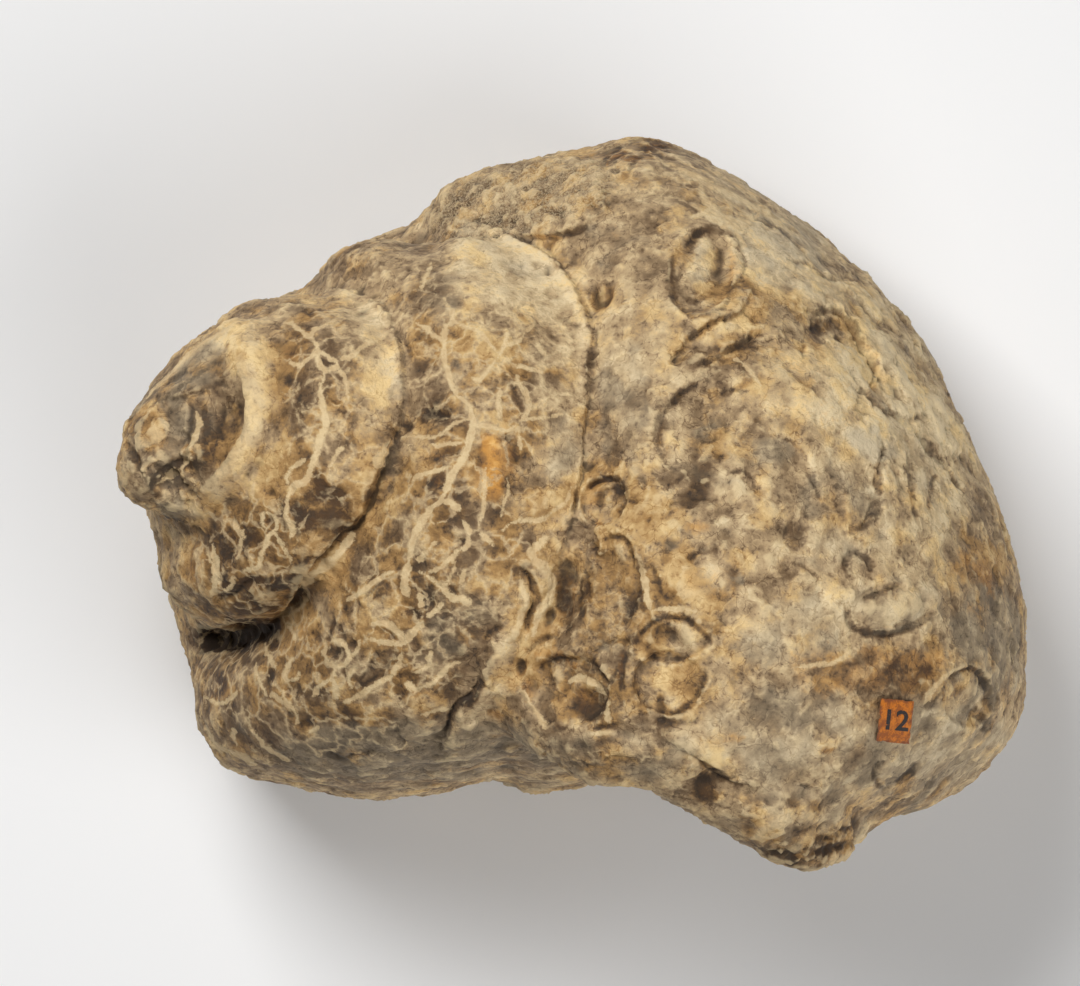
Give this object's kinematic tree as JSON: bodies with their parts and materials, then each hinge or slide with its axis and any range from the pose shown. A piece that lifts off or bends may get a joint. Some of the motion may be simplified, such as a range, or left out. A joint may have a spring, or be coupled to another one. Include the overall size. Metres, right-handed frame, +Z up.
{
  "type": "fossil sea snail",
  "caption": "Stone filling of a large coiled sea snail shell, with ring scars of shells that grew on it and a small paper number label, lying on its worn flat back.",
  "frame": {"origin": "the middle of the footprint box, on the ground", "axes": "+Z is up, out of the side that is seen; +X is along the fossil towards the wide broken mouth end, away from the point of the spire; +Y is towards the upper edge of the picture, where the last whorl is highest"},
  "size_m": [0.2074, 0.1682, 0.1344],
  "materials": {
    "limestone": "dull, rough and pitted, tan with cream veins, grey patches and rust stains",
    "label_paper": "matt orange paper with dark printed numerals"
  },
  "bodies": {
    "root": {"fossil_snail": "limestone", "number_label": "label_paper"}
  },
  "joints": []
}
